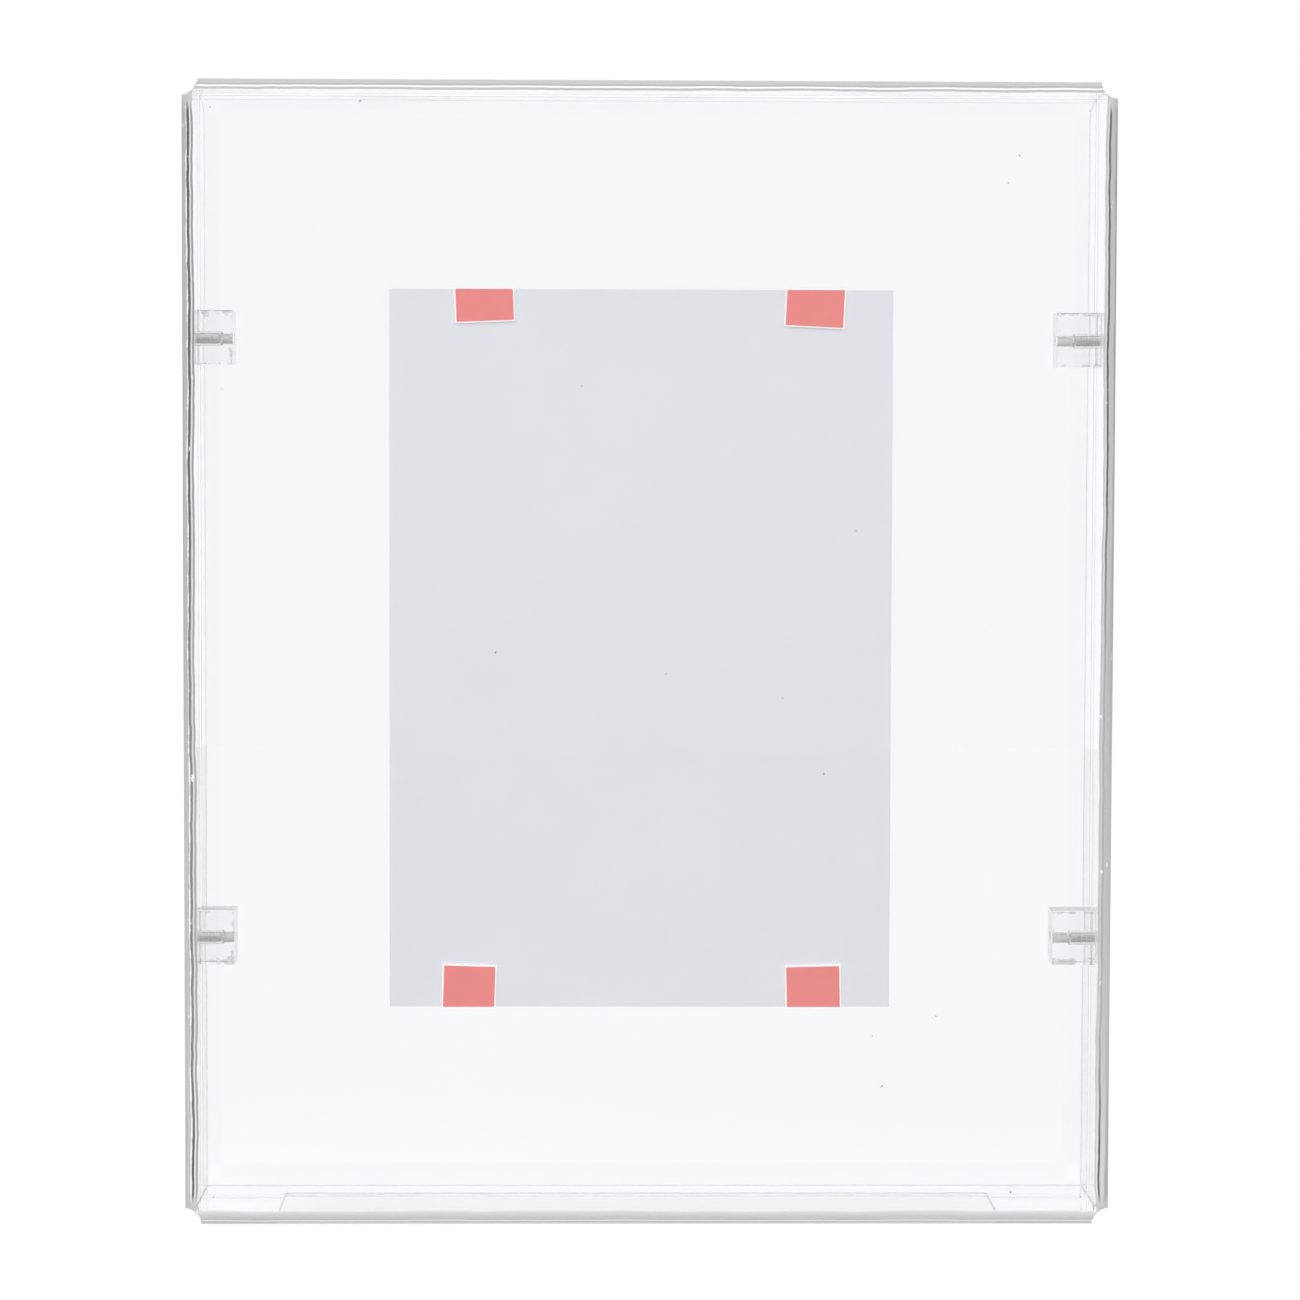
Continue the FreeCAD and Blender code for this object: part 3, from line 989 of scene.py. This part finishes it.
def make_dust():
    """Dust on the front of the cover: known specks as loose points, fine dust over one face."""
    bm = bmesh.new()
    skin = cover_low.y - 0.02 * mm
    for x, z in dust_places:
        bm.verts.new((x * mm, skin, z * mm))
    margin = 12 * mm
    corners = [
        (cover_low.x + margin, skin, cover_low.z + margin),
        (cover_high.x - margin, skin, cover_low.z + margin),
        (cover_high.x - margin, skin, cover_high.z - margin),
        (cover_low.x + margin, skin, cover_high.z - margin),
    ]
    bm.faces.new([bm.verts.new(point) for point in corners])
    mesh = bpy.data.meshes.new("dust_on_cover")
    bm.to_mesh(mesh)
    bm.free()
    piece = link("dust_on_cover", mesh)
    tree = dust_tree(dust_finish())
    modifier = piece.modifiers.new("dust", "NODES")
    modifier.node_group = tree
    sockets = {item.name: item.identifier for item in tree.interface.items_tree if item.in_out == "INPUT"}
    for label, value in dust_settings.items():
        modifier[sockets[label]] = value
    baked = plain_copy(piece, "dust_on_cover")
    piece.modifiers.clear()
    piece.data = baked
    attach(piece, "frame")


make_dust()


# Studio

white = (1, 1, 1, 1)
# The floor's brightness seen directly, through the plastic and, as a painted shadow, under the frame,
# and mirrored, from front to back
floor_seen, floor_through, floor_painted_shadow = 1.03, 1.065, 0.93
floor_mirrored = (0.34, 1.05)
# How much of the floor is plain paper, which takes the shadow
shadow_share = 0.08
# Where the painted shadow under the frame's footprint fades out on the floor, from its middle
painted_shadow_side, painted_shadow_front = (0.13, 0.2), (0.02, 0.055)
# The room's brightness seen directly, through the plastic, mirrored, and as light on the frame
room_seen, room_through, room_mirrored, room_lit = 1.0, 1.055, 1.12, 1.06


def pick_by_ray(tree, choices, rest):
    """One shader per kind of ray: the last choice that applies wins."""
    chosen = rest
    for test, shader in choices:
        chosen = mix_shaders(tree, test, chosen, shader)
    return chosen


def has_bounced(tree, path):
    """1 for light that a surface has mirrored at least once on its way, such as inside a bend."""
    return calc(tree, "GREATER_THAN", path.outputs["Glossy Depth"], 0.5)


def make_floor():
    """White sheet that the frame stands on, with a trace of its shadow and a painted shadow under the frame
    where it is seen through the plastic.
    """
    bm = bmesh.new()
    low, half = -0.3 * mm, 2.5
    corners = [(-half, -half, low), (half, -half, low), (half, half, low), (-half, half, low)]
    bm.faces.new([bm.verts.new(point) for point in corners])
    floor = link("white_floor", mesh_from("white_floor", bm))
    material, tree, output = new_material("white_floor_paper")
    path = tree.nodes.new("ShaderNodeLightPath")
    seen = add(tree, "ShaderNodeEmission", {"Color": white, "Strength": floor_seen})
    x, y, _ = axes(tree)
    # Painted shadow: the floor seen through the plastic is darker where the frame stands.
    beside = spread(tree, calc(tree, "ABSOLUTE", x), 0.0, 1.0, *painted_shadow_side)
    ahead = spread(tree, calc(tree, "ABSOLUTE", y), 0.0, 1.0, *painted_shadow_front)
    through = add(tree, "ShaderNodeEmission", {"Color": white})
    level = spread(tree, calc(tree, "MAXIMUM", beside, ahead), floor_painted_shadow, floor_through)
    tree.links.new(level, through.inputs["Strength"])
    mirrored = add(tree, "ShaderNodeEmission", {"Color": white})
    tree.links.new(spread(tree, y, *floor_mirrored, -0.3, 0.1), mirrored.inputs["Strength"])
    choices = [
        (path.outputs["Is Transmission Ray"], through.outputs["Emission"]),
        (has_bounced(tree, path), mirrored.outputs["Emission"]),
    ]
    light = pick_by_ray(tree, choices, seen.outputs["Emission"])
    paper = add(tree, "ShaderNodeBsdfDiffuse", {"Color": (0.9, 0.9, 0.9, 1)})
    mix = add(tree, "ShaderNodeMixShader", {"Fac": shadow_share})
    tree.links.new(light, mix.inputs[1])
    tree.links.new(paper.outputs["BSDF"], mix.inputs[2])
    tree.links.new(mix.outputs["Shader"], output.inputs["Surface"])
    material.cycles.emission_sampling = "NONE"
    floor.data.materials.append(material)


def room_brightness(tree):
    """What polished surfaces mirror: a white sweep behind, dark gaps beside it, a dim room in front."""
    where = tree.nodes.new("ShaderNodeTexCoord")
    split = tree.nodes.new("ShaderNodeSeparateXYZ")
    tree.links.new(where.outputs["Generated"], split.inputs["Vector"])
    ramp = tree.nodes.new("ShaderNodeValToRGB")
    ramp.color_ramp.interpolation = "EASE"
    stops = ramp.color_ramp.elements
    stops[0].position, stops[0].color = 0.30, white
    stops[1].position, stops[1].color = 0.38, (0.2, 0.2, 0.205, 1)
    for place, level in ((0.62, 0.2), (0.7, 0.6), (0.95, 0.6)):
        stop = stops.new(place)
        stop.color = (level, level, level, 1)
    tree.links.new(calc(tree, "ABSOLUTE", split.outputs["X"]), ramp.inputs["Fac"])
    behind = calc(tree, "GREATER_THAN", split.outputs["Y"], 0.0)
    return pick(tree, behind, fixed_colour(tree, 0.35, 0.35, 0.35), ramp.outputs["Color"])


def make_world():
    """White room for what is seen directly or through the plastic, dimmer for what it mirrors."""
    world = bpy.data.worlds.new("studio")
    bpy.context.scene.world = world
    world.use_nodes = True
    world.cycles.sampling_method = "NONE"
    tree = world.node_tree
    tree.nodes.clear()
    output = tree.nodes.new("ShaderNodeOutputWorld")
    path = tree.nodes.new("ShaderNodeLightPath")
    seen = add(tree, "ShaderNodeBackground", {"Color": white, "Strength": room_seen})
    through = add(tree, "ShaderNodeBackground", {"Color": white, "Strength": room_through})
    mirrored = add(tree, "ShaderNodeBackground", {"Strength": room_mirrored})
    tree.links.new(room_brightness(tree), mirrored.inputs["Color"])
    lit = add(tree, "ShaderNodeBackground", {"Color": white, "Strength": room_lit})
    choices = [
        (path.outputs["Is Transmission Ray"], through.outputs["Background"]),
        (has_bounced(tree, path), mirrored.outputs["Background"]),
        (path.outputs["Is Camera Ray"], seen.outputs["Background"]),
    ]
    tree.links.new(pick_by_ray(tree, choices, lit.outputs["Background"]), output.inputs["Surface"])


def make_lamp(name, place, aim, size, power):
    """A square soft lamp that points at a spot."""
    data = bpy.data.lights.new(name, "AREA")
    data.shape = "SQUARE"
    data.size = size
    data.energy = power
    lamp = bpy.data.objects.new(name, data)
    bpy.context.scene.collection.objects.link(lamp)
    lamp.location = place
    lamp.rotation_euler = (Vector(aim) - Vector(place)).to_track_quat("-Z", "Y").to_euler()
    lamp.visible_transmission = False


def make_camera():
    """The photograph's viewpoint: 1.56 m in front of the cover, a little above its middle."""
    data = bpy.data.cameras.new("photo_camera")
    focal_pixels, photo_pixels = 3838.2, 1300
    data.sensor_width = 36.0
    data.lens = focal_pixels / photo_pixels * data.sensor_width
    camera = bpy.data.objects.new("photo_camera", data)
    bpy.context.scene.collection.objects.link(camera)
    yaw, pitch, roll = math.radians(0.939), math.radians(-2.982), math.radians(0.163)
    forward = Vector((math.sin(yaw) * math.cos(pitch), math.cos(yaw) * math.cos(pitch), math.sin(pitch)))
    right = Vector((math.cos(yaw), -math.sin(yaw), 0))
    up = right.cross(forward)
    across = right * math.cos(roll) + up * math.sin(roll)
    upward = up * math.cos(roll) - right * math.sin(roll)
    turn = Matrix((across, upward, -forward)).transposed()
    camera.matrix_world = Matrix.Translation((-0.0253, -1.6018, 0.3182)) @ turn.to_4x4()
    bpy.context.scene.camera = camera


make_floor()
make_world()
make_lamp("soft_key_lamp", (-1.3, -1.6, 2.2), (0, 0, 0.2), 1.6, 22)
make_lamp("soft_fill_lamp", (1.8, -1.4, 1.4), (0, 0, 0.2), 1.6, 11)
make_camera()
bpy.context.scene.view_settings.view_transform = "Standard"
